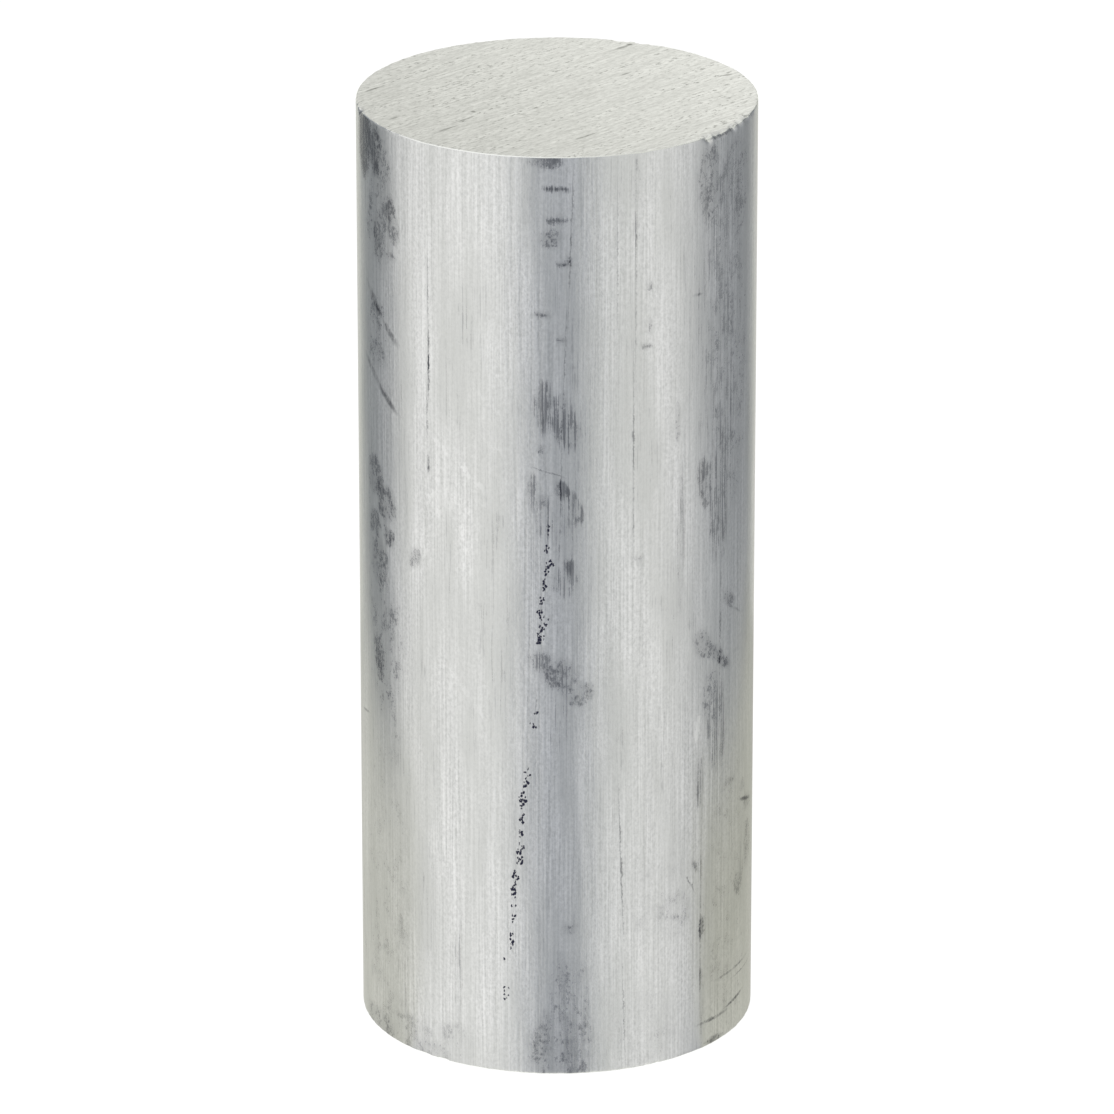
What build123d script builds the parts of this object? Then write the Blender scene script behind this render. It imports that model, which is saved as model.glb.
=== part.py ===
from build123d import *
import os

# Round bar of extruded aluminium, cut to length with a saw at both ends.
# Millimetres. +Z runs along the bar, and the origin is the centre of the end it stands on.

bar_diameter = 60.0  # outside diameter that the extrusion die gives the stock
cut_length = 146.0  # from one saw cut to the other
top_edge_break = 0.3  # leg of the bevel where the burr of the upper cut was dressed off
foot_edge_break = 0.3  # leg of the bevel at the lower cut

# The whole bar has the die's section, a full circle, and each saw cut is square to it.
with BuildPart() as round_bar:
    with BuildSketch(Plane.XY) as die_section:
        Circle(bar_diameter / 2)
    extrude(amount=cut_length)

    # A pass of the file takes the burr off each rim and leaves a narrow bevel.
    top_rim = round_bar.faces().sort_by(Axis.Z)[-1].edges()
    chamfer(top_rim, length=top_edge_break)
    foot_rim = round_bar.faces().sort_by(Axis.Z)[0].edges()
    chamfer(foot_rim, length=foot_edge_break)

round_bar.part.label = "round_bar"

os.makedirs("parts", exist_ok=True)
export_step(round_bar.part, "parts/round_bar.step")
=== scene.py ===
# %% [markdown]
# # A sawn length of round aluminium bar
#
# Round bar is made by pushing a hot aluminium billet through a steel die. The stock is then cut to length
# on a band saw, and stacked, slid about and handled before anyone uses it. What the eye reads on it is the
# history of those steps: fine lines along the bar from the die, straight saw marks across the ends, a thin
# bright edge where the burr was filed off, and grey smudges and scratches from handling.
#
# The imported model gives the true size, so everything below takes its sizes from it.

import math

import bmesh
import bpy
import numpy as np
from mathutils import Matrix, Vector


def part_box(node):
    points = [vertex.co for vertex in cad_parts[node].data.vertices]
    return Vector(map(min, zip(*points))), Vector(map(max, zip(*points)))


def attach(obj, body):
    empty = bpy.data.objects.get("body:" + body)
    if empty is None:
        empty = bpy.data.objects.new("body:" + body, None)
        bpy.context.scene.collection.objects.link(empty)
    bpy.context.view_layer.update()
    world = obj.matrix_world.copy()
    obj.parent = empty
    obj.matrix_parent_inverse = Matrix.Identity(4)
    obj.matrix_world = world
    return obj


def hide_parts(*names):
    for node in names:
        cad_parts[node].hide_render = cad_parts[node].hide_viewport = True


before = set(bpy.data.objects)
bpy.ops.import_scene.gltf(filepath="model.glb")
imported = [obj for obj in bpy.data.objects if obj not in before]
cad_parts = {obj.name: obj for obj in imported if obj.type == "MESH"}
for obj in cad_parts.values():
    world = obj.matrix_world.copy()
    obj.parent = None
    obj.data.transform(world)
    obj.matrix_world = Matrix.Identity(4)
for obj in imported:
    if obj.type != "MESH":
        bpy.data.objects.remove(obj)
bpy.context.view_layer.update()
bar_low, bar_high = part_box("round_bar")
mm = 0.001  # Blender's unit here is the metre
bar_radius = (bar_high.x - bar_low.x) / 2
bar_length = bar_high.z - bar_low.z
print("packed nodes:", list(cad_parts))
print(f"bar: {bar_radius * 2 / mm:.1f} mm across and {bar_length / mm:.1f} mm long")

# %% [markdown]
# ## Three helpers
#
# Colours are written as hex values, the way a paint chip or a screen gives them, and the shaders want
# linear light, so one function converts them. Node trees are long to write by hand, so one small function
# adds a node, changes its settings and fills its inputs, either by name or in order. A node that is given
# as an input is linked from its first output. Every material starts from an empty tree.

# %% Colour, node and material helpers
def linear(hex_colour):
    """The linear RGBA of an sRGB colour written as #rrggbb."""
    parts = [int(hex_colour[i : i + 2], 16) / 255 for i in (1, 3, 5)]
    return [p / 12.92 if p <= 0.04045 else ((p + 0.055) / 1.055) ** 2.4 for p in parts] + [1.0]


def add(tree, kind, inputs=(), **settings):
    """Adds a node of this kind with its settings, and fills its inputs by name or in order."""
    node = tree.nodes.new(kind)
    for name, value in settings.items():
        setattr(node, name, value)
    sockets = [socket for socket in node.inputs if socket.enabled]
    if isinstance(inputs, dict):
        by_name = {socket.name: socket for socket in reversed(sockets)}
        pairs = [(by_name[name], value) for name, value in inputs.items()]
    else:
        pairs = zip(sockets, inputs)
    for socket, value in pairs:
        if isinstance(value, bpy.types.Node):
            value = next(output for output in value.outputs if output.enabled)
        if isinstance(value, bpy.types.NodeSocket):
            tree.links.new(value, socket)
        else:
            socket.default_value = value
    return node


def blank_material(name):
    """A new material and its empty node tree."""
    material = bpy.data.materials.new(name)
    material.use_nodes = True
    material.node_tree.nodes.clear()
    return material, material.node_tree


print("mid grey is", round(linear("#808080")[0], 3), "in linear light")

# %% [markdown]
# ## The bar's shape
#
# The bar is a body of revolution, so its shape follows a rule: half of its outline is turned about the
# axis. Geometry Nodes say that directly. Each stretch of the outline is a short curve, and Curve to Mesh
# carries it round a circle. A cylinder primitive would be quicker, but it has no filed edge, and its long
# thin faces can't carry the waves of the saw or a nick in the rim. Here each stretch gets as many rows as
# its detail needs: close together near the rims, and about a millimetre apart down the plain wall.
#
# Two reliefs follow. The die leaves long shallow lines, which run the whole length because every slice
# passed the same die. The saw leaves straight waves across each end. Both are only hundredths of a
# millimetre deep, and both are cut inwards, so the bar keeps its size.

# %% Sizes of the bar's surface
edge_break = 0.3 * mm  # the file took the burr off each rim and left a rounded corner of this size
fine_band = 2.0 * mm  # how far from a rim the rows stay close together
die_line_depth = 0.03 * mm
saw_wave_depth = 0.06 * mm
saw_bearing = math.radians(48)  # how far the blade's way across the end is turned from the X axis
columns = 480  # faces round the bar
print(f"each face is {2 * math.pi * bar_radius / columns / mm:.2f} mm wide, round the bar")

# %% The tree and its named inputs
shape = bpy.data.node_groups.new("turned bar", "GeometryNodeTree")
shape.interface.new_socket("Bar", in_out="OUTPUT", socket_type="NodeSocketGeometry")
sizes = ("Radius", "Length", "Edge Break", "Fine Band", "Die Line Depth", "Saw Wave Depth")
kinds = {
    "NodeSocketFloat": sizes,
    "NodeSocketInt": ("Columns", "Seed"),
    "NodeSocketMaterial": ("Extruded Side", "Filed Rim", "Sawn End"),
}
for kind, names in kinds.items():
    for name in names:
        shape.interface.new_socket(name, in_out="INPUT", socket_type=kind)
given = add(shape, "NodeGroupInput").outputs
print("inputs:", [socket.name for socket in given if socket.name])

# %% The outline's corners
radius, length = given["Radius"], given["Length"]
near_rim, at_rim = given["Fine Band"], given["Edge Break"]
r_near = add(shape, "ShaderNodeMath", [radius, near_rim], operation="SUBTRACT")
r_rim = add(shape, "ShaderNodeMath", [radius, at_rim], operation="SUBTRACT")
z_near = add(shape, "ShaderNodeMath", [length, near_rim], operation="SUBTRACT")
z_rim = add(shape, "ShaderNodeMath", [length, at_rim], operation="SUBTRACT")
# Distance from the axis and depth below the top, from the middle of the top to the middle of the foot,
# with the rows of faces in the stretch that starts there.
corners = [
    (0.0, 0.0, 22),
    (r_near, 0.0, 5),
    (r_rim, 0.0, 5),
    (radius, at_rim, 6),
    (radius, near_rim, 146),
    (radius, z_near, 4),
    (radius, z_rim, 4),
    (r_rim, length, 3),
    (r_near, length, 6),
    (0.0, length, 0),
]
filed = {2: (radius, 0.0), 6: (radius, length)}  # the sharp corners that the file rounded
print(sum(rows for *_, rows in corners), "rows of faces from the middle of the top to that of the foot")

# %% Turn each stretch about the axis, and sew them together
circle_size = {"Resolution": given["Columns"], "Radius": radius}
circle = add(shape, "GeometryNodeCurvePrimitiveCircle", circle_size)
stretches = add(shape, "GeometryNodeJoinGeometry")
for i, (r, depth, rows) in enumerate(corners[:-1]):
    points = []
    for r_point, depth_point in ((r, depth), corners[i + 1][:2], filed.get(i, (r, depth))):
        from_wall = add(shape, "ShaderNodeMath", [r_point, radius], operation="SUBTRACT")
        points.append(add(shape, "ShaderNodeCombineXYZ", [from_wall, depth_point]))
    start, end, corner = points
    if i in filed:
        arc = {"Resolution": rows, "Start": start, "Middle": corner, "End": end}
        stretch = add(shape, "GeometryNodeCurveQuadraticBezier", arc)
    else:
        line = add(shape, "GeometryNodeCurvePrimitiveLine", [start, end])
        stretch = add(shape, "GeometryNodeResampleCurve", {"Curve": line, "Count": rows + 1})
    turned = add(shape, "GeometryNodeCurveToMesh", {"Curve": circle, "Profile Curve": stretch})
    shape.links.new(turned.outputs["Mesh"], stretches.inputs["Geometry"])
seam = 0.002 * mm  # points of two stretches that are this close become one
sewn = add(shape, "GeometryNodeMergeByDistance", {"Geometry": stretches, "Distance": seam})
# A profile's Y points down when the circle is flat, so the outline hangs below the origin.
lift = add(shape, "ShaderNodeCombineXYZ", {"Z": length})
skin = add(shape, "GeometryNodeTransform", {"Geometry": sewn, "Translation": lift})
print(len(corners) - 1, "stretches turned and sewn")

# %% Where a point is on the bar
place = add(shape, "GeometryNodeInputPosition")
flat = add(shape, "ShaderNodeVectorMath", [place, (1.0, 1.0, 0.0)], operation="MULTIPLY")
outwards = add(shape, "ShaderNodeVectorMath", [flat], operation="NORMALIZE")
from_axis = add(shape, "ShaderNodeVectorMath", [flat], operation="LENGTH").outputs["Value"]
middle = add(shape, "ShaderNodeMath", [length, 0.5], operation="MULTIPLY")
height = add(shape, "ShaderNodeSeparateXYZ", [place]).outputs["Z"]
above = add(shape, "ShaderNodeMath", [height, middle], operation="SUBTRACT")
from_middle = add(shape, "ShaderNodeMath", [above], operation="ABSOLUTE")
print("each point's distance from the axis and from the middle:", len(shape.nodes), "nodes so far")

# %% The die's lines on the side
line_size = (0.7 * mm, 0.7 * mm, 160 * mm)
along_die = add(shape, "ShaderNodeVectorMath", [place, line_size], operation="DIVIDE")
noise = {"Vector": along_die, "W": given["Seed"], "Scale": 1.0, "Detail": 3.0}
lines = add(shape, "ShaderNodeTexNoise", noise, noise_dimensions="4D").outputs["Fac"]
on_side = [from_axis, r_near, radius, 0.0, given["Die Line Depth"]]
on_side = add(shape, "ShaderNodeMapRange", on_side)
cut = add(shape, "ShaderNodeMath", [lines, on_side], operation="MULTIPLY")
inwards = add(shape, "ShaderNodeMath", [cut, -1.0], operation="MULTIPLY")
offset = add(shape, "ShaderNodeVectorMath", {"Vector": outwards, "Scale": inwards}, operation="SCALE")
skin = add(shape, "GeometryNodeSetPosition", {"Geometry": skin, "Offset": offset})
print(f"die lines: up to {die_line_depth / mm:.2f} mm deep")

# %% The saw's waves on the ends
wave_size = (45 * mm, 1.6 * mm, 10 * mm)
turn = {"Vector": place, "Angle": -saw_bearing}
along_blade = add(shape, "ShaderNodeVectorRotate", turn, rotation_type="Z_AXIS")
across = add(shape, "ShaderNodeVectorMath", [along_blade, wave_size], operation="DIVIDE")
noise = {"Vector": across, "W": given["Seed"], "Scale": 1.0, "Detail": 1.0}
waves = add(shape, "ShaderNodeTexNoise", noise, noise_dimensions="4D").outputs["Fac"]
filing = add(shape, "ShaderNodeMath", [middle, at_rim], operation="SUBTRACT")
on_end = [from_middle, filing, middle, 0.0, given["Saw Wave Depth"]]
on_end = add(shape, "ShaderNodeMapRange", on_end)
sawn = add(shape, "ShaderNodeMath", [waves, on_end], operation="MULTIPLY")
side_of_middle = add(shape, "ShaderNodeMath", [above], operation="SIGN")
back = add(shape, "ShaderNodeMath", [side_of_middle, -1.0], operation="MULTIPLY")
sunk = add(shape, "ShaderNodeMath", [sawn, back], operation="MULTIPLY")
offset = add(shape, "ShaderNodeCombineXYZ", {"Z": sunk})
skin = add(shape, "GeometryNodeSetPosition", {"Geometry": skin, "Offset": offset})
print(f"saw waves: up to {saw_wave_depth / mm:.2f} mm deep, {wave_size[1] / mm:.1f} mm apart")

# %% Which faces are side, rim and end
# The file left its bright facet on this share of the rounded corner's height and width.
facet_height, facet_width = 0.65, 0.5
facet_low = add(shape, "ShaderNodeMath", [at_rim, -facet_height, middle], operation="MULTIPLY_ADD")
facet_in = add(shape, "ShaderNodeMath", [at_rim, -facet_width, radius], operation="MULTIPLY_ADD")
heights = {"A": from_middle, "B": facet_low}
past_side = add(shape, "FunctionNodeCompare", heights, operation="GREATER_THAN")
distances = {"A": from_axis, "B": facet_in}
inside = add(shape, "FunctionNodeCompare", distances, operation="LESS_THAN")
on_end = add(shape, "FunctionNodeBooleanMath", [past_side, inside], operation="AND")
skin = add(shape, "GeometryNodeSetShadeSmooth", {"Geometry": skin})
skin = add(shape, "GeometryNodeRealizeInstances", {"Geometry": skin})
sides = {"Geometry": skin, "Material": given["Extruded Side"]}
skin = add(shape, "GeometryNodeSetMaterial", sides)
rims = {"Geometry": skin, "Selection": past_side, "Material": given["Filed Rim"]}
skin = add(shape, "GeometryNodeSetMaterial", rims)
ends = {"Geometry": skin, "Selection": on_end, "Material": given["Sawn End"]}
skin = add(shape, "GeometryNodeSetMaterial", ends)
add(shape, "NodeGroupOutput", [skin])
print("the bar's tree has", len(shape.nodes), "nodes")

# %% [markdown]
# ## Coordinates for the finishes
#
# A scratch or a smudge on a round bar is easiest to place as on a label that is peeled off and laid flat:
# so many millimetres round from the front, and so many up from the foot. The shader works that out from
# the object's own coordinates with an arctangent. Grain and streaks don't use the flat label, because it
# has a seam at the back. They use the plain coordinates in millimetres, which have none.

# %% Coordinates in millimetres, and the peeled-off label
def millimetres(tree):
    """Object coordinates in mm."""
    object_place = add(tree, "ShaderNodeTexCoord").outputs["Object"]
    in_metres = {"Vector": object_place, "Scale": 1 / mm}
    return add(tree, "ShaderNodeVectorMath", in_metres, operation="SCALE")


def bearing_from_front(tree, xyz):
    """The angle round the axis, in radians, from the front towards the right."""
    forwards = add(tree, "ShaderNodeMath", [xyz.outputs["Y"], -1.0], operation="MULTIPLY")
    return add(tree, "ShaderNodeMath", [xyz.outputs["X"], forwards], operation="ARCTAN2")


side_finish, side = blank_material("extruded aluminium, handled")
in_mm = millimetres(side)
xyz = add(side, "ShaderNodeSeparateXYZ", [in_mm])
angle = bearing_from_front(side, xyz)
round_mm = add(side, "ShaderNodeMath", [angle, bar_radius / mm], operation="MULTIPLY")
label = add(side, "ShaderNodeCombineXYZ", [round_mm, xyz.outputs["Z"]])
print(f"the label is {2 * math.pi * bar_radius / mm:.0f} mm round and {bar_length / mm:.0f} mm high")

# %% [markdown]
# ## Extruded aluminium
#
# Mill-finish 6000-series aluminium, as it left the die: no polish, no anodising, only the thin clear oxide
# that grows in air. The eye gets a soft silvery sheen, drawn out into fine lines along the bar. In places a
# haze dulls it, and the wall isn't quite even, so what it mirrors wavers a little.
#
# Bars that slide on each other leave grey smudges, because aluminium's dust is dark. The dust stays in the
# valleys between the die's ridges and in small pits, so a smudge is made of broken lines and flakes, and
# the clean ridges run through it. A single smooth dark blot would look painted on. So the wear below comes
# from noise at the sizes of the real marks, and how much of the noise shows depends on how hard a place was
# rubbed. Three attributes say where that was: rubbed along the bar, speckled, and scuffed pale. They are
# painted on the mesh once there is one. Most of the wear darkens the colour, and a little of it polishes.

# %% Noise at the sizes of the real marks
def grain(tree, place, size, bearing=0.0, detail=2.0, ragged=0.5):
    """Soft noise whose grains measure size = (x, y, z) mm, after a turn about the bar's axis."""
    laid = {"Vector": place, "Rotation": (0.0, 0.0, bearing), "Scale": size}
    laid = add(tree, "ShaderNodeMapping", laid, vector_type="TEXTURE")
    noise = {"Vector": laid, "Scale": 1.0, "Detail": detail, "Roughness": ragged}
    return add(tree, "ShaderNodeTexNoise", noise).outputs["Fac"]


# The die's finest lines are too thin to show, so they are drawn about twice as coarse.
drawn = grain(side, in_mm, (0.38, 0.38, 26.0), detail=3.0, ragged=0.7)
grit = grain(side, in_mm, (0.42, 0.42, 0.60), detail=2.0, ragged=0.7)
dashes = grain(side, in_mm, (0.30, 0.30, 11.0), detail=2.0, ragged=0.6)
flakes = grain(side, in_mm, (2.4, 2.4, 3.4), detail=4.0, ragged=0.8)
clouds = grain(side, in_mm, (6.0, 6.0, 28.0), detail=3.0)
print("five kinds of grain:", len(side.nodes), "nodes so far")

# %% Smudges
def smudge(tree, pattern, amount, softness):
    """How dark a smudge is: the more a place was rubbed, the more of the pattern's peaks show."""
    shows_above, lift, gain = 0.63, 0.20, 1.5
    raised = add(tree, "ShaderNodeMath", [amount, lift, pattern], operation="MULTIPLY_ADD")
    peaks = add(tree, "ShaderNodeMapRange", [raised, shows_above, shows_above + softness, 0.0, 1.0])
    shown = add(tree, "ShaderNodeMath", [amount, gain], operation="MULTIPLY", use_clamp=True)
    return add(tree, "ShaderNodeMath", [peaks, shown], operation="MULTIPLY")


painted = ("rubbed", "speckled", "scuffed")
amounts = [add(side, "ShaderNodeAttribute", attribute_name=name).outputs["Fac"] for name in painted]
rubbed_here, speckled_here, scuffed_here = amounts
smudged = add(side, "ShaderNodeMath", [rubbed_here, speckled_here], operation="MAXIMUM")
# A little wear shows in the clouds even where no mark is, and a rubbed place has some specks too.
cloudy = add(side, "ShaderNodeMapRange", [clouds, 0.45, 0.70, 0.0, 0.42])
rubbed_here = add(side, "ShaderNodeMath", [rubbed_here, cloudy], operation="MAXIMUM")
gritty = add(side, "ShaderNodeMath", [rubbed_here, 0.75], operation="MULTIPLY")
speckled_here = add(side, "ShaderNodeMath", [speckled_here, gritty], operation="MAXIMUM")
# Flakes break up both kinds of smudge. What is taken off brings each mix's average back to a half.
broken = add(side, "ShaderNodeMath", [dashes, 0.85, -0.135], operation="MULTIPLY_ADD")
broken = add(side, "ShaderNodeMath", [flakes, 0.42, broken], operation="MULTIPLY_ADD")
streaked = smudge(side, broken, rubbed_here, softness=0.09)
mottled = add(side, "ShaderNodeMath", [flakes, 0.75, -0.10], operation="MULTIPLY_ADD")
mottled = add(side, "ShaderNodeMath", [grit, 0.45, mottled], operation="MULTIPLY_ADD")
specks = smudge(side, mottled, speckled_here, softness=0.14)
worn = add(side, "ShaderNodeMath", [streaked, specks], operation="MAXIMUM")
# Thin cleaner lines run through every smudge.
lined = add(side, "ShaderNodeMapRange", [drawn, 0.36, 0.52, 0.45, 1.0])
worn = add(side, "ShaderNodeMath", [worn, lined], operation="MULTIPLY")
scuffed = smudge(side, flakes, scuffed_here, softness=0.25)
print("with smudges and scuffs:", len(side.nodes), "nodes")

# %% Where the scratches are
# Each mark is (mm round from the front, mm up from the foot, half width, half height, slant from upright
# towards the right in degrees, strength).
scratches = [
    (-20.3, 112.0, 0.24, 8.0, 0, 1.2),
    (-20.4, 124.0, 0.20, 7.0, 0, 0.7),
    (-20.6, 104.0, 0.18, 7.0, 0, 0.7),
    (-20.4, 96.4, 0.35, 2.4, 0, 1.1),
    (-33.5, 118.4, 0.9, 5.0, 128, 0.6),
    (-28.8, 114.6, 0.8, 3.6, 126, 0.8),
    (-34.0, 106.9, 0.8, 5.4, 122, 0.8),
    (-30.0, 104.2, 0.8, 4.6, 122, 0.9),
    (2.3, 132.0, 0.18, 17.0, 2, 0.7),
    (1.4, 114.0, 0.15, 12.0, 2, 0.6),
    (0.9, 98.0, 0.14, 16.0, 1, 0.4),
    (-1.0, 97.4, 0.16, 3.6, 108, 0.7),
    (12.2, 126.0, 0.16, 24.0, 0, 0.4),
    (11.9, 98.0, 0.16, 26.0, 0, 0.7),
    (9.3, 130.0, 0.13, 16.0, 0, 0.5),
    (10.1, 34.0, 0.18, 18.0, 178, 0.8),
    (10.6, 10.0, 0.12, 12.0, 178, 0.6),
    (24.6, 19.0, 0.25, 16.0, 0, 0.55),
    (23.2, 122.3, 1.4, 0.35, 0, 0.6),
    (28.0, 4.5, 0.40, 5.0, 90, 1.0),
    (34.5, 5.4, 0.35, 5.0, 84, 0.9),
    (34.5, 10.6, 0.30, 8.0, 90, 0.6),
    (37.0, 9.2, 0.20, 6.0, 90, 0.7),
    (38.5, 37.0, 0.45, 4.5, 108, 1.0),
    (22.4, 28.5, 0.25, 2.6, 150, 0.8),
    (31.6, 112.0, 0.12, 30.0, 0, 0.4),
    (29.0, 66.0, 0.25, 18.0, 0, 0.7),
    (-39.0, 51.0, 0.3, 3.0, 80, 0.6),
    (33.0, 70.0, 0.35, 4.0, 120, 0.5),
    (-2.9, 60.0, 0.12, 3.2, 5, 0.6),
]
print(len(scratches), "scratches")

# %% Draw the scratches, with dirt in them
def marks(tree, label, places):
    """One mask of all the soft-edged marks in a list."""
    turned = {}
    mask = None
    for round_mm, up, half_width, half_height, slant, strength in places:
        if slant not in turned:
            turn = {"Vector": label, "Angle": math.radians(slant)}
            turned[slant] = add(tree, "ShaderNodeVectorRotate", turn, rotation_type="Z_AXIS")
        middle = Vector((round_mm, up, 0.0))
        middle.rotate(Matrix.Rotation(math.radians(slant), 3, "Z"))
        size = Vector((half_width, half_height, 1.0))
        narrowed = [1 / size.x, 1 / size.y, 0.0]
        moved = [-middle.x / size.x, -middle.y / size.y, 0.0]
        off = [turned[slant], narrowed, moved]
        off = add(tree, "ShaderNodeVectorMath", off, operation="MULTIPLY_ADD")
        away = add(tree, "ShaderNodeVectorMath", [off], operation="LENGTH").outputs["Value"]
        fade = [away, 0.2, 1.0, strength, 0.0]
        mark = add(tree, "ShaderNodeMapRange", fade, interpolation_type="SMOOTHSTEP")
        if mask is not None:
            mark = add(tree, "ShaderNodeMath", [mask, mark], operation="MAXIMUM")
        mask = mark
    return mask


# The grit shakes the label a little, so that thin marks get uneven edges.
shake = (0.6, 0.6, 0.0)  # mm
shaken = add(side, "ShaderNodeVectorMath", [grit, shake, label], operation="MULTIPLY_ADD")
scored = marks(side, shaken, scratches)
# Dirt comes and goes along a scratch.
dotted = add(side, "ShaderNodeMapRange", [flakes, 0.42, 0.54, 0.35, 1.0])
scored = add(side, "ShaderNodeMath", [scored, dotted], operation="MULTIPLY")
print("with scratches:", len(side.nodes), "nodes")

# %% Colour of the handled metal
# Drawn lines, grain and pale scuffs in the clean metal, and a haze over parts of it.
tone = add(side, "ShaderNodeMath", [grit, 0.7, drawn], operation="MULTIPLY_ADD")
tone = add(side, "ShaderNodeMath", [scuffed, 0.5, tone], operation="MULTIPLY_ADD")
tone = add(side, "ShaderNodeMapRange", [tone, 0.61, 1.09, 0.0, 1.0])
metals = {"Factor": tone, "A": linear("#cfd0ce"), "B": linear("#fbfbfa")}
clean = add(side, "ShaderNodeMix", metals, data_type="RGBA")
hazy = add(side, "ShaderNodeMapRange", [clouds, 0.40, 0.64, 0.0, 0.7])
hazed = {"Factor": hazy, "A": clean, "B": linear("#e0e1de")}
clean = add(side, "ShaderNodeMix", hazed, data_type="RGBA")
# Dirt: a grey film where it was handled, and then the smudges and the scratches.
film = add(side, "ShaderNodeMath", [smudged, smudged], operation="MULTIPLY")
film = add(side, "ShaderNodeMath", [film, 0.20], operation="MULTIPLY")
dirt = add(side, "ShaderNodeMath", [cloudy, 0.15, film], operation="MULTIPLY_ADD")
dirt = add(side, "ShaderNodeMath", [worn, 0.52, dirt], operation="MULTIPLY_ADD")
dirt = add(side, "ShaderNodeMath", [scored, 0.80, dirt], operation="MULTIPLY_ADD")
dulled = {"Factor": dirt, "A": clean, "B": linear("#42444d")}
handled = add(side, "ShaderNodeMix", dulled, data_type="RGBA")
print("with metal, haze and dirt:", len(side.nodes), "nodes")

# %% What is left of the ink
# An ink jet marked the bar here, and handling rubbed that down to a trail of unreadable flecks. The trail
# is a list of marks, the same as for the scratches.
ink_trail = [
    (-0.9, 88.2, 0.5, 1.0, 5, 1.2),
    (-1.1, 85.4, 0.9, 1.4, 5, 0.7),
    (-0.9, 82.8, 0.9, 1.4, 5, 0.9),
    (-1.5, 80.2, 0.40, 3.0, 5, 2.0),
    (-2.0, 77.2, 0.7, 1.1, 5, 1.2),
    (-2.1, 75.2, 0.8, 1.2, 5, 1.4),
    (-1.7, 73.4, 1.2, 1.6, 5, 0.5),
    (-2.3, 71.4, 0.9, 2.0, 5, 0.9),
    (-3.4, 58.0, 0.8, 3.2, 5, 0.4),
    (-3.1, 57.0, 0.4, 0.7, 5, 1.5),
    (-4.3, 49.0, 0.8, 2.6, 5, 0.6),
    (-4.8, 45.2, 0.75, 2.0, 5, 2.4),
    (-5.0, 42.0, 0.6, 1.6, 5, 0.9),
    (-5.1, 39.5, 0.6, 2.2, 5, 0.5),
    (-5.3, 36.8, 0.9, 2.0, 5, 0.8),
    (-5.4, 35.0, 0.8, 1.0, 5, 1.4),
    (-5.9, 32.7, 0.8, 1.3, 5, 2.0),
    (-6.3, 30.2, 0.6, 1.8, 5, 1.4),
    (-6.4, 27.6, 0.5, 0.8, 5, 1.8),
    (-6.4, 25.9, 0.5, 0.9, 5, 1.2),
    (-6.6, 22.0, 0.6, 3.0, 5, 0.3),
    (-7.5, 18.5, 0.8, 2.4, 5, 0.3),
    (-7.6, 13.0, 0.7, 2.4, 5, 0.4),
]
print(len(ink_trail), "stretches of ink")

# %% Flecks along the trail
# Each fleck is a dot of a few tenths of a millimetre, kept by chance.
fleck_size = (0.34, 0.50, 1.0)  # mm from fleck to fleck, round the bar and up it
laid = add(side, "ShaderNodeVectorMath", [shaken, fleck_size], operation="DIVIDE")
flecks = {"Vector": laid, "Scale": 1.0}
flecks = add(side, "ShaderNodeTexVoronoi", flecks, voronoi_dimensions="2D")
chances = add(side, "ShaderNodeSeparateColor", [flecks.outputs["Color"]])
# The trail is looked up at each fleck's middle, so a fleck is kept or lost whole.
middles = [flecks.outputs["Position"], fleck_size]
middles = add(side, "ShaderNodeVectorMath", middles, operation="MULTIPLY")
trail = marks(side, middles, ink_trail)
kept = add(side, "ShaderNodeMath", [trail, chances.outputs["Red"]], operation="GREATER_THAN")
wide = add(side, "ShaderNodeMapRange", [chances.outputs["Green"], 0.0, 1.0, 0.26, 0.64])
edge = add(side, "ShaderNodeMath", [wide, flecks.outputs["Distance"]], operation="SUBTRACT")
fleck = add(side, "ShaderNodeMapRange", [edge, -0.08, 0.08, 0.0, 1.0])
ink = add(side, "ShaderNodeMath", [fleck, kept], operation="MULTIPLY")
print("with ink:", len(side.nodes), "nodes")

# %% Roughness, relief and the finished side
# Rubbed spots are smoother, scuffs and ink rougher, and the die's lines differ a little.
rough = add(side, "ShaderNodeMapRange", [drawn, 0.25, 0.75, 0.27, 0.37])
rough = add(side, "ShaderNodeMath", [worn, -0.10, rough], operation="MULTIPLY_ADD")
rough = add(side, "ShaderNodeMath", [scuffed, 0.20, rough], operation="MULTIPLY_ADD")
rough = add(side, "ShaderNodeMath", [ink, 0.15, rough], operation="MULTIPLY_ADD")
# Relief, in mm: lines along the bar, grain, and the wall's slow unevenness.
relief = add(side, "ShaderNodeMath", [drawn, 0.020], operation="MULTIPLY")
relief = add(side, "ShaderNodeMath", [grit, 0.025, relief], operation="MULTIPLY_ADD")
relief = add(side, "ShaderNodeMath", [clouds, 0.12, relief], operation="MULTIPLY_ADD")
bump = add(side, "ShaderNodeBump", {"Strength": 1.0, "Distance": mm, "Height": relief})
inked = {"Factor": ink, "A": handled, "B": linear("#15173c")}
printed = add(side, "ShaderNodeMix", inked, data_type="RGBA")
bare = add(side, "ShaderNodeMath", [1.0, ink], operation="SUBTRACT")
metal = {"Base Color": printed, "Metallic": bare, "Roughness": rough, "Normal": bump}
add(side, "ShaderNodeOutputMaterial", [add(side, "ShaderNodeBsdfPrincipled", metal)])
print(side_finish.name, "has", len(side.nodes), "nodes")

# %% [markdown]
# ## Sawn aluminium and the filed rim
#
# A band saw's teeth leave straight, parallel, slightly torn grooves, so the end looks paler and more
# matt than the side, with fine streaks one way only. The rim was dressed with a file, which cuts a narrow
# bright facet. It is the cleanest metal on the bar, and it catches the light as a thin line. Both are noise
# again, stretched along the blade's way across the end, or along the file's strokes.

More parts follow.
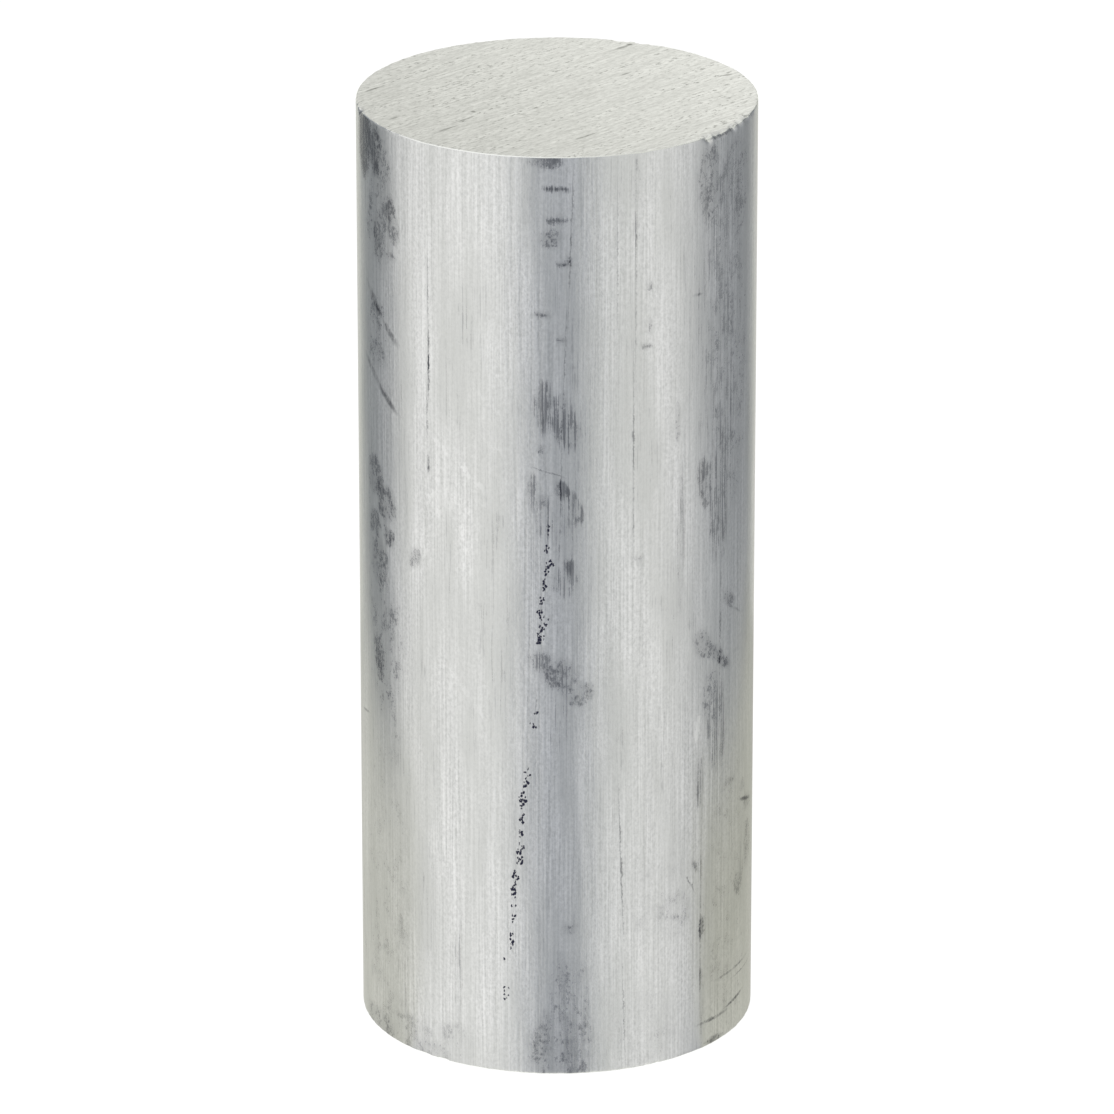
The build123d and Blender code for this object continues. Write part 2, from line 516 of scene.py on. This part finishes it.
# %% Band-sawn aluminium
# Each gouge is (mm right of the axis, mm behind it, half width, half length, slant, strength).
gouges = [
    (10.0, 24.6, 0.5, 3.0, 42, 1.0),
    (11.0, 26.0, 0.7, 0.8, 0, 1.3),
    (10.2, 10.8, 0.4, 1.6, 42, 1.0),
    (-27.5, 3.2, 0.4, 2.6, 42, 1.2),
    (-12.4, -8.0, 0.5, 0.6, 0, 1.3),
    (-13.8, -12.0, 0.4, 3.4, 42, 1.0),
    (-16.3, -16.5, 0.4, 3.6, 42, 0.9),
    (4.2, -20.0, 0.4, 3.4, 42, 1.1),
    (25.5, 10.4, 0.4, 1.6, 60, 1.0),
    (-24.0, -11.0, 0.4, 1.8, 42, 0.9),
]
end_finish, end = blank_material("band-sawn aluminium")
in_mm = millimetres(end)
grooves = grain(end, in_mm, (7.0, 0.50, 9.0), saw_bearing, detail=3.0, ragged=0.7)
streaks = grain(end, in_mm, (20.0, 2.0, 9.0), saw_bearing, detail=2.0)
tears = grain(end, in_mm, (1.2, 0.50, 2.0), saw_bearing, detail=3.0, ragged=0.7)
torn = add(end, "ShaderNodeMath", [streaks, 0.5, tears], operation="MULTIPLY_ADD")
torn = add(end, "ShaderNodeMapRange", [torn, 0.86, 0.97, 0.0, 0.5])
gouged = add(end, "ShaderNodeMath", [marks(end, in_mm, gouges), tears], operation="MULTIPLY")
torn = add(end, "ShaderNodeMath", [torn, gouged], operation="MAXIMUM")
print(len(gouges), "gouges and three kinds of grain:", len(end.nodes), "nodes so far")

# %% The sawn end's shade and relief
shade = add(end, "ShaderNodeMath", [streaks, 0.35, grooves], operation="MULTIPLY_ADD")
shade = add(end, "ShaderNodeMath", [tears, -1.4, shade], operation="MULTIPLY_ADD")
# Painted light and shade: the end is a little greyer towards the front left and paler towards the back
# right, as the light falls on it.
light_slope_by_mm = (0.006, 0.003, 0.0)
painted_light_slope = add(end, "ShaderNodeVectorMath", [in_mm, light_slope_by_mm], operation="DOT_PRODUCT")
shade = add(end, "ShaderNodeMath", [shade, painted_light_slope.outputs["Value"]], operation="ADD")
shade = add(end, "ShaderNodeMapRange", [shade, -0.55, 0.45, 0.0, 1.0])
greys = {"Factor": shade, "A": linear("#c6c6c4"), "B": linear("#fcfcfb")}
face = add(end, "ShaderNodeMix", greys, data_type="RGBA")
tear_shade = {"Factor": torn, "A": face, "B": linear("#6b6b66")}
face = add(end, "ShaderNodeMix", tear_shade, data_type="RGBA")
relief = add(end, "ShaderNodeMath", [grooves, 0.03], operation="MULTIPLY")
relief = add(end, "ShaderNodeMath", [torn, -0.03, relief], operation="MULTIPLY_ADD")
bump = add(end, "ShaderNodeBump", {"Strength": 1.0, "Distance": mm, "Height": relief})
metal = {"Base Color": face, "Metallic": 1.0, "Roughness": 0.55, "Normal": bump}
add(end, "ShaderNodeOutputMaterial", [add(end, "ShaderNodeBsdfPrincipled", metal)])
print(end_finish.name, "has", len(end.nodes), "nodes")

# %% Filed aluminium
rim_finish, rim = blank_material("filed aluminium")
in_mm = millimetres(rim)
strokes = grain(rim, in_mm, (0.8, 0.8, 0.12), detail=2.0)
rough = add(rim, "ShaderNodeMapRange", [strokes, 0.3, 0.7, 0.12, 0.30])
# Painted light and shade: the rim is white on the left and greyer towards the right, as the light falls on
# it.
to_right = add(rim, "ShaderNodeSeparateXYZ", [in_mm]).outputs["X"]
painted_shade_right = add(rim, "ShaderNodeMapRange", [to_right, -6.0, 12.0, 0.0, 1.0])
lit_left_shaded_right = {"Factor": painted_shade_right, "A": linear("#ffffff"), "B": linear("#dfe0dc")}
rim_light_and_shade = add(rim, "ShaderNodeMix", lit_left_shaded_right, data_type="RGBA")
relief = add(rim, "ShaderNodeMath", [strokes, 0.01], operation="MULTIPLY")
bump = add(rim, "ShaderNodeBump", {"Strength": 1.0, "Distance": mm, "Height": relief})
metal = {"Base Color": rim_light_and_shade, "Metallic": 1.0, "Roughness": rough, "Normal": bump}
add(rim, "ShaderNodeOutputMaterial", [add(rim, "ShaderNodeBsdfPrincipled", metal)])
print(rim_finish.name, "has", len(rim.nodes), "nodes")

# %% [markdown]
# ## From tree to plain mesh
#
# The tree goes on an empty mesh as a modifier. Its inputs are set by each socket's identifier before
# anything asks for the result. Then the result is copied to a plain mesh and the modifier isn't needed.

# %% Grow the bar
settings = {
    "Radius": bar_radius,
    "Length": bar_length,
    "Edge Break": edge_break,
    "Fine Band": fine_band,
    "Die Line Depth": die_line_depth,
    "Saw Wave Depth": saw_wave_depth,
    "Columns": columns,
    "Seed": 7,
    "Extruded Side": side_finish,
    "Filed Rim": rim_finish,
    "Sawn End": end_finish,
}
bar = bpy.data.objects.new("bar_stock", bpy.data.meshes.new("bar_stock"))
bpy.context.scene.collection.objects.link(bar)
grown = bar.modifiers.new("turned bar", "NODES")
grown.node_group = shape
for socket in shape.interface.items_tree:
    if socket.name in settings:
        grown[socket.identifier] = settings[socket.name]
result = bar.evaluated_get(bpy.context.evaluated_depsgraph_get())
mesh = bpy.data.meshes.new_from_object(result)
bar.modifiers.remove(grown)
mesh.materials.pop(index=0)  # the empty slot that the unfinished skin came with
bar.data = mesh
mesh.calc_loop_triangles()
print("bar:", len(mesh.loop_triangles), "triangles,", [m.name for m in mesh.materials])

# %% [markdown]
# ## Frayed rims
#
# A bar is knocked where it is easiest to knock, on its rims, and the file doesn't take every saw tear away.
# A bevel alone would leave both rims perfect. So each column of points near a rim is pushed inwards by its
# own small amount, and by more in the few stretches that were knocked. The push fades out within a fraction
# of a millimetre, and it only goes inwards, so the bar keeps its size.

# %% Where the rims were knocked
# Each chipped stretch is (bearing in degrees from the front, half width in degrees, depth in mm, at the
# top or not).
chipped = [
    (49, 2.0, 0.45, True),
    (61, 13.0, 0.40, True),
    (-77, 5, 0.30, True),
    (24, 2, 0.15, True),
    (-40, 3, 0.12, True),
    (157, 6, 0.25, True),
    (28, 4, 0.12, False),
    (-37, 6, 0.10, False),
    (120, 8, 0.30, False),
]
frayed_by = 0.05  # mm, at most, where nothing knocked the rim
print("knocked at bearings", [at for at, *_ in chipped])

# %% Fray the rims
def points_in_mm(mesh):
    """The mesh's points, one row of x, y and z in mm for each."""
    points = np.empty(len(mesh.vertices) * 3, dtype=np.float32)
    mesh.vertices.foreach_get("co", points)
    return points.reshape(-1, 3).astype(float) / mm


def fray_rims(mesh):
    """Pushes the rims in by a little that differs from column to column, and by more where they chipped."""
    points = points_in_mm(mesh)
    radius, length = bar_radius / mm, bar_length / mm
    from_axis = np.hypot(points[:, 0], points[:, 1])
    bearing = np.degrees(np.arctan2(points[:, 0], -points[:, 1]))
    column = np.round(bearing / 360 * columns).astype(int) % columns
    for at_top in (True, False):
        below = length - points[:, 2] if at_top else points[:, 2]
        ragged = np.random.default_rng(5 + at_top).random(columns)
        # A column takes after the two before it, and the lowest and the highest results are cut off.
        ragged = ragged * 0.5 + np.roll(ragged, 1) * 0.3 + np.roll(ragged, 2) * 0.2
        ragged = np.clip(2 * ragged - 0.5, 0, 1)[column]
        depth = np.full(len(points), frayed_by)
        for at, half_width, chip_depth, chip_at_top in chipped:
            if chip_at_top == at_top:
                off = ((bearing - at + 180) % 360 - 180) / half_width
                depth += chip_depth * np.exp(-(off**4))
        push = depth * ragged
        from_corner = below + (radius - from_axis)
        push *= np.exp(-((from_corner / (edge_break / mm + push)) ** 2))
        points[:, 2] += -push if at_top else push
        points[:, :2] *= (1 - push / radius)[:, None]
    mesh.vertices.foreach_set("co", (points * mm).astype(np.float32).ravel())
    mesh.update()


fray_rims(bar.data)
print("after fraying the bar measures", [round(v / mm, 2) for v in bar.dimensions], "mm")

# %% [markdown]
# ## Where the bar was rubbed
#
# The finish could work out every smudge in its shader, as it does for the thin scratches, but more than a
# hundred soft ovals would make it slow. They are wide, and the skin's points are less than half a millimetre
# apart round the bar and about a millimetre along it. So each point of the mesh keeps its own share of the
# rubbing, as an attribute that the finish reads by name. The places are listed as the scratches are.

# %% Places that were rubbed along the bar
rubbed = [
    (-1.6, 145.4, 3.4, 2.0, 0, 0.6),
    (-0.2, 141.2, 2.6, 0.9, 0, 1.1),
    (0.0, 136.2, 3.0, 1.2, 0, 0.6),
    (-1.8, 107.2, 2.4, 5.8, 0, 0.8),
    (0.6, 105.5, 2.2, 6.4, 0, 0.75),
    (2.0, 103.5, 2.0, 5.0, 0, 0.75),
    (0.8, 94.2, 1.6, 2.4, -25, 0.95),
    (2.8, 91.4, 1.4, 4.0, -15, 0.8),
    (-3.6, 93.8, 1.4, 4.6, 0, 0.75),
    (1.2, 88.5, 3.4, 8.0, 0, 0.5),
    (-1.8, 90.0, 2.2, 5.0, 0, 0.6),
    (1.8, 82.5, 1.4, 1.6, 0, 1.0),
    (1.2, 80.0, 3.4, 3.6, 0, 0.6),
    (-2.2, 67.0, 2.2, 2.4, 0, 0.6),
    (1.0, 64.5, 2.6, 3.6, -12, 0.65),
    (0.5, 58.0, 3.0, 8.0, 0, 0.4),
    (0.5, 10.0, 4.4, 8.0, 0, 0.35),
    (0.8, 3.0, 4.8, 6.0, 0, 0.4),
    (24.9, 92.2, 2.2, 6.0, -8, 0.7),
    (28.0, 90.0, 4.0, 16.0, 0, 0.7),
    (28.0, 52.0, 3.4, 11.0, 0, 0.7),
    (24.0, 44.0, 1.3, 6.0, 0, 0.8),
    (24.3, 20.0, 1.0, 3.0, 0, 0.5),
    (19.8, 84.0, 1.2, 18.0, 0, 0.5),
    (29.0, 118.0, 7.5, 40.0, 0, 0.5),
    (25.5, 126.0, 2.4, 26.0, 0, 0.45),
    (12.0, 138.0, 0.8, 12.0, 0, 0.5),
    (9.2, 137.0, 0.7, 6.0, 0, 0.4),
    (24.4, 34.0, 1.0, 9.0, 0, 0.5),
    (24.6, 8.0, 0.8, 9.0, 0, 0.6),
    (-21.5, 26.0, 2.6, 14.0, 0, 0.35),
    (-27.0, 14.0, 1.6, 16.0, 0, 0.4),
    (-15.6, 16.0, 0.9, 20.0, 0, 0.5),
    (16.0, 48.0, 4.0, 16.0, 0, 0.3),
    (0.0, 20.0, 6.0, 26.0, 0, 0.2),
    (58.0, 96.0, 2.4, 20.0, 0, 0.6),
    (84.0, 40.0, 2.6, 14.0, 0, 0.6),
    (-66.0, 70.0, 3.0, 26.0, 0, 0.55),
]
print(len(rubbed), "rubbed places")

# %% Places with dark specks
speckled = [
    (-38.0, 142.0, 5.0, 8.0, 0, 1.3),
    (-33.5, 141.5, 3.0, 6.0, 0, 1.1),
    (-32.0, 134.0, 6.5, 14.0, 0, 0.75),
    (-28.8, 133.5, 1.8, 3.4, 0, 1.1),
    (-33.0, 128.5, 1.8, 5.4, 0, 1.1),
    (-27.6, 130.5, 1.3, 3.6, 0, 0.9),
    (-35.8, 130.0, 1.6, 4.0, 0, 0.8),
    (-30.5, 126.5, 4.0, 1.2, 0, 0.9),
    (-33.5, 113.5, 5.0, 9.0, 0, 0.7),
    (-34.5, 90.5, 4.2, 4.4, 35, 0.9),
    (-32.5, 88.6, 2.8, 2.4, 35, 1.1),
    (-30.5, 86.6, 3.6, 4.4, 15, 0.9),
    (-29.8, 81.8, 2.4, 2.2, -40, 1.1),
    (-34.5, 83.0, 3.0, 3.0, 0, 0.9),
    (-33.0, 77.0, 4.0, 6.0, 0, 0.9),
    (-31.0, 64.0, 6.5, 18.0, 0, 0.65),
    (-33.0, 61.0, 2.4, 5.0, 0, 1.0),
    (-29.0, 50.0, 4.0, 10.0, 0, 0.5),
    (-23.6, 80.5, 1.8, 2.6, 20, 0.9),
    (-34.0, 36.0, 1.4, 10.0, 0, 0.5),
    (2.0, 24.0, 1.8, 1.7, 0, 0.75),
    (14.0, 6.0, 8.0, 9.0, 0, 0.45),
    (-28.0, 2.5, 12.0, 5.0, 0, 0.6),
    (-16.5, 3.0, 5.0, 6.0, 0, 0.5),
    (-34.0, 1.5, 8.0, 3.5, 0, 0.9),
    (-22.0, 1.0, 8.0, 2.4, 0, 0.75),
    (-1.6, 145.2, 3.6, 1.7, 0, 0.8),
    (1.2, 129.6, 2.0, 1.0, -20, 1.1),
    (-1.0, 133.4, 2.6, 2.4, 0, 0.8),
    (-0.2, 136.0, 2.4, 0.7, 0, 1.0),
    (-2.2, 121.6, 1.5, 0.8, 0, 1.2),
    (0.6, 117.9, 1.1, 0.6, 0, 1.2),
    (-2.4, 100.7, 1.4, 0.8, 0, 1.0),
    (-2.4, 92.5, 1.4, 2.2, 0, 0.9),
    (-2.4, 67.2, 2.8, 2.8, 0, 0.75),
    (0.6, 65.0, 4.0, 3.8, -20, 0.85),
    (3.4, 61.8, 3.4, 2.4, -40, 0.8),
    (27.0, 56.0, 3.6, 9.0, -6, 0.7),
    (24.6, 66.4, 2.8, 3.8, -35, 0.85),
    (27.0, 64.5, 4.4, 1.8, 30, 0.9),
    (29.8, 62.0, 3.6, 1.5, 35, 1.0),
    (31.4, 71.6, 3.2, 1.5, 32, 0.95),
    (36.6, 39.2, 1.8, 1.6, 0, 0.9),
    (39.4, 35.6, 3.4, 2.0, 15, 0.9),
    (39.5, 29.0, 3.0, 6.0, 0, 0.8),
    (15.0, 28.0, 7.0, 11.0, 0, 0.4),
    (19.0, 24.0, 5.0, 6.0, 0, 0.5),
    (28.0, 0.7, 3.6, 0.8, 0, 1.1),
    # A dark line just under the top rim, where it is chipped at the right.
    (28.0, 145.6, 6.0, 0.7, 0, 1.0),
    (31.0, 112.0, 8.5, 40.0, 0, 0.6),
    (28.0, 136.5, 6.0, 1.4, 0, 0.75),
    (27.0, 133.0, 4.0, 1.2, 0, 0.7),
    (25.4, 139.0, 3.6, 9.0, 0, 0.8),
    (24.7, 92.0, 2.2, 6.0, -8, 0.85),
    (32.0, 136.0, 7.0, 12.0, 0, 0.7),
    (24.5, 20.0, 1.1, 3.4, 0, 0.75),
    (19.2, 103.0, 0.9, 5.0, 0, 0.7),
    (13.7, 115.7, 1.3, 0.9, 0, 1.2),
    (14.3, 119.0, 0.6, 2.2, 0, 0.8),
    (14.2, 125.0, 0.9, 1.4, 0, 0.8),
    (12.2, 140.0, 1.5, 6.0, 0, 0.5),
    (12.5, 82.5, 1.3, 1.2, 0, 0.8),
    (-32.0, 24.0, 10.0, 36.0, 0, 0.5),
    (32.0, 24.0, 10.0, 36.0, 0, 0.48),
    (0.0, 20.0, 6.0, 26.0, 0, 0.2),
    (0.8, 4.0, 7.0, 10.0, 0, 0.85),
    (2.0, 13.0, 4.4, 10.0, 0, 0.65),
    (12.2, 131.0, 0.9, 8.0, 0, 0.4),
    (32.0, 42.0, 2.6, 1.1, 10, 0.9),
    (35.0, 24.0, 2.4, 2.6, 0, 0.9),
    (19.0, 23.4, 0.7, 2.6, 120, 1.0),
    (23.0, 31.0, 0.8, 1.8, 150, 1.0),
    (64.0, 40.0, 7.0, 18.0, 0, 0.7),
    (76.0, 118.0, 5.0, 10.0, 0, 0.8),
    (-56.0, 110.0, 6.0, 20.0, 0, 0.7),
    (-80.0, 44.0, 6.0, 12.0, 20, 0.8),
]
print(len(speckled), "speckled places")

# %% Pale scuffs
pale_scuffs = [
    (-9.5, 115.0, 1.8, 1.0, 20, 0.9),
    (-9.0, 111.5, 1.3, 0.8, 0, 0.9),
    (-9.8, 100.8, 0.9, 3.6, -58, 0.9),
    (-9.8, 90.8, 0.9, 3.4, -60, 0.9),
    (-10.0, 71.0, 1.8, 3.0, 40, 0.7),
    (-18.5, 86.0, 7.0, 12.0, 0, 0.6),
    (-21.0, 70.0, 3.0, 5.0, 30, 0.5),
    (20.5, 108.0, 1.2, 8.0, 22, 0.7),
    (-14.0, 96.0, 0.7, 12.0, -52, 1.0),
    (-11.0, 108.0, 0.6, 7.0, -50, 1.0),
    (-15.0, 62.0, 0.8, 9.0, -40, 0.9),
    (16.5, 96.0, 0.6, 10.0, 16, 0.9),
    (14.0, 44.0, 0.8, 9.0, -30, 0.8),
    (23.5, 53.0, 0.9, 3.4, 5, 1.0),
    (-34.0, 107.2, 1.2, 0.9, 0, 1.0),
    (-31.8, 86.6, 1.6, 0.9, 0, 1.0),
    (-34.4, 88.2, 1.0, 0.7, 0, 0.9),
    (25.8, 145.7, 0.9, 0.6, 0, 1.2),
]
print(len(pale_scuffs), "pale scuffs")

# %% Paint them on the mesh
def paint(mesh, name, places):
    """Paints soft smudges on the mesh's points, as an attribute that the finish reads."""
    x, y, up = points_in_mm(mesh).T
    round_mm = np.arctan2(x, -y) * bar_radius / mm
    mask = np.zeros(len(x))
    for round_at, up_at, half_width, half_height, slant, strength in places:
        lean = math.radians(slant)
        right, rise = round_mm - round_at, up - up_at
        across = (right * math.cos(lean) - rise * math.sin(lean)) / half_width
        along = (right * math.sin(lean) + rise * math.cos(lean)) / half_height
        soft = np.clip(2.0 * (1 - np.hypot(across, along)), 0, 1)
        mask = np.maximum(mask, strength * soft * soft * (3 - 2 * soft))
    kept = mesh.attributes.new(name, "FLOAT", "POINT")
    kept.data.foreach_set("value", mask.astype(np.float32))


for name, places in zip(painted, (rubbed, speckled, pale_scuffs)):
    paint(bar.data, name, places)
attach(bar, "root")
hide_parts("round_bar")
print("painted on the bar:", [name for name in painted if name in bar.data.attributes])

# %% [markdown]
# ## The studio
#
# Bare metal has almost no colour of its own: it shows the room. So the studio matters as much as the
# finish. The bar stands inside a ring of paper and cards, and the softboxes are part of the ring. Between
# them are gaps and black cards, which the bar shows as dark upright bands. Lamps could stand for the
# softboxes, but a ring of tones is easier to tune, one stretch at a time. Only reflections see it.

# %% A ring of softboxes and cards
# Each stretch is (name, from and to in degrees round from the camera, tone at each end).
ring_stretches = [
    ("backdrop, left", -180, -158, "#fbfbf3", "#f3f3e9"),
    ("black card, left", -143, -110, "#858a8e", "#979a9e"),
    ("softbox, left", -99, -30, "#eeeeed", "#f7f7f6"),
    ("gap at the camera", -8, 12, "#a6aab2", "#a6aab2"),
    ("softbox, right", 24, 66, "#e2e3e2", "#ededec"),
    ("softbox fading, right", 86, 86, "#cbccce", "#cbccce"),
    ("black card, right", 102, 146, "#aaadb1", "#888b8f"),
    ("backdrop, right", 158, 180, "#f3f3e9", "#fbfbf3"),
]
paper, ring_tree = blank_material("paper and softboxes")
object_place = add(ring_tree, "ShaderNodeTexCoord").outputs["Object"]
xyz = add(ring_tree, "ShaderNodeSeparateXYZ", [object_place])
angle = bearing_from_front(ring_tree, xyz)
share = add(ring_tree, "ShaderNodeMath", [angle, 0.5 / math.pi, 0.5], operation="MULTIPLY_ADD")
tones = add(ring_tree, "ShaderNodeValToRGB", [share])
stops = tones.color_ramp.elements
stops.remove(stops[1])
stops[0].position = 0.0
stops[0].color = linear(ring_stretches[0][3])
for _, start, end_at, start_tone, end_tone in ring_stretches:
    stops.new((start + 180) / 360).color = linear(start_tone)
    stops.new((end_at + 180) / 360).color = linear(end_tone)
glow = add(ring_tree, "ShaderNodeEmission", {"Color": tones, "Strength": 1.0})
add(ring_tree, "ShaderNodeOutputMaterial", [glow])
paper.cycles.emission_sampling = "NONE"
print("round the bar:", [stretch[0] for stretch in ring_stretches])

# %% Stand the ring up
def only_in_reflections(thing):
    """Hides a piece of the stage from every ray but the glossy ones."""
    for ray in ("camera", "diffuse", "shadow", "transmission"):
        setattr(thing, f"visible_{ray}", False)


ring_radius = 0.9
ring_low, ring_high = -0.9, 0.75
turned = bmesh.new()
bmesh.ops.create_cone(
    turned,
    segments=128,
    radius1=ring_radius,
    radius2=ring_radius,
    depth=ring_high - ring_low,
)
bmesh.ops.translate(turned, vec=(0, 0, (ring_high + ring_low) / 2), verts=turned.verts)
ring_mesh = bpy.data.meshes.new("paper_ring")
turned.to_mesh(ring_mesh)
ring_mesh.materials.append(paper)
ring = bpy.data.objects.new("paper_ring", ring_mesh)
bpy.context.scene.collection.objects.link(ring)
only_in_reflections(ring)
print("the ring measures", [round(v, 2) for v in ring.dimensions], "m")

# %% [markdown]
# ## Table, backdrop and lamp
#
# The table looks white because it glows for the camera alone. The light on the bar stays at a plain level,
# and the table still takes the bar's soft shadow. Metal mirrors the table top close to it as well, so a
# separate card, which only reflections see, stands for that. The world is white to the camera and a little
# warmer and darker in reflections. One wide lamp above gives the shadow its direction.

# %% The table, as the camera sees it
def plain_sheet(name, corner_low, corner_high, height, material):
    """A flat rectangle with one material, linked into the scene."""
    x0, y0 = corner_low
    x1, y1 = corner_high
    corners = [(x0, y0, height), (x1, y0, height), (x1, y1, height), (x0, y1, height)]
    mesh = bpy.data.meshes.new(name)
    mesh.from_pydata(corners, [], [(0, 1, 2, 3)])
    mesh.materials.append(material)
    sheet = bpy.data.objects.new(name, mesh)
    bpy.context.scene.collection.objects.link(sheet)
    return sheet


table_reach = 6  # m from the bar to the table's edge
seen_white = 0.9  # the light that falls on the table makes up the rest
white, table_tree = blank_material("white table")
matt = add(table_tree, "ShaderNodeBsdfDiffuse", {"Color": (0.3, 0.3, 0.3, 1.0)})
seen = add(table_tree, "ShaderNodeLightPath").outputs["Is Camera Ray"]
strength = add(table_tree, "ShaderNodeMath", [seen, seen_white], operation="MULTIPLY")
glow = add(table_tree, "ShaderNodeEmission", {"Strength": strength})
both = add(table_tree, "ShaderNodeAddShader", [matt, glow])
add(table_tree, "ShaderNodeOutputMaterial", [both])
white.cycles.emission_sampling = "NONE"
table = plain_sheet("table", (-table_reach, -table_reach), (table_reach, table_reach), 0.0, white)
table.visible_glossy = False  # the card in the next cell stands in for it there
table.visible_shadow = False
print(table.name, "measures", [round(v, 2) for v in table.dimensions], "m")

# %% The lit table top, as the metal mirrors it
lit, card_tree = blank_material("lit table top")
object_place = add(card_tree, "ShaderNodeTexCoord").outputs["Object"]
xyz = add(card_tree, "ShaderNodeSeparateXYZ", [object_place])
# Towards the right the table top gets less light.
share = add(card_tree, "ShaderNodeMapRange", [xyz.outputs["X"], -0.03, 0.06, 0.0, 1.0])
tone = {"Factor": share, "A": linear("#d6d6ce"), "B": linear("#c1c1b6")}
tone = add(card_tree, "ShaderNodeMix", tone, data_type="RGBA")
glow = add(card_tree, "ShaderNodeEmission", {"Color": tone, "Strength": 1.0})
add(card_tree, "ShaderNodeOutputMaterial", [glow])
lit.cycles.emission_sampling = "NONE"
card = plain_sheet("table_card", (-0.13, -0.02), (0.13, 0.16), -0.5 * mm, lit)
only_in_reflections(card)
print(card.name, "measures", [round(v, 2) for v in card.dimensions], "m")

# %% The world round the studio
world = bpy.data.worlds.new("studio")
bpy.context.scene.world = world
world.use_nodes = True
air = world.node_tree
air.nodes.clear()
ray = add(air, "ShaderNodeLightPath").outputs
grey, pure_white = (0.5, 0.5, 0.5, 1.0), (1.0, 1.0, 1.0, 1.0)
unseen = {"Factor": ray["Is Glossy Ray"], "A": grey, "B": linear("#f6f7f2")}
unseen = add(air, "ShaderNodeMix", unseen, data_type="RGBA")
shown = {"Factor": ray["Is Camera Ray"], "A": unseen, "B": pure_white}
shown = add(air, "ShaderNodeMix", shown, data_type="RGBA")
add(air, "ShaderNodeOutputWorld", [add(air, "ShaderNodeBackground", [shown])])
world.cycles.sampling_method = "NONE"
print("world:", world.name, "with", len(air.nodes), "nodes")

# %% The lamp above
lamp = bpy.data.lights.new("overhead", "AREA")
lamp.size = 1.2
lamp.energy = 1.5
hung = bpy.data.objects.new("overhead", lamp)
hung.location = (-0.3, -0.3, 1.6)
hung.rotation_euler = (math.radians(-10), math.radians(-10), 0)
hung.visible_glossy = False
bpy.context.scene.collection.objects.link(hung)
print(f"the lamp is {lamp.size:.1f} m wide and hangs {hung.location.z:.1f} m up")

# %% [markdown]
# ## Camera
#
# A long lens from more than a metre away, looking down about twenty degrees, so that the top shows as a
# flat oval and the sides stay almost parallel. A short lens close by would make the bar look tapered.

# %% Camera
in_front, up, looks_down = 1.2, 0.52087, 20.483  # m, m and degrees
lens = bpy.data.cameras.new("camera")
lens.lens = 272.35  # mm
lens.sensor_width = 36  # mm
camera = bpy.data.objects.new("camera", lens)
bpy.context.scene.collection.objects.link(camera)
camera.location = (0, -in_front, up)
camera.rotation_euler = (math.radians(90 - looks_down), 0, 0)
bpy.context.scene.camera = camera
bpy.context.scene.view_settings.view_transform = "Standard"
aim = up - in_front * math.tan(math.radians(looks_down))
print(f"the camera looks at the bar's axis {aim / mm:.0f} mm above the table")
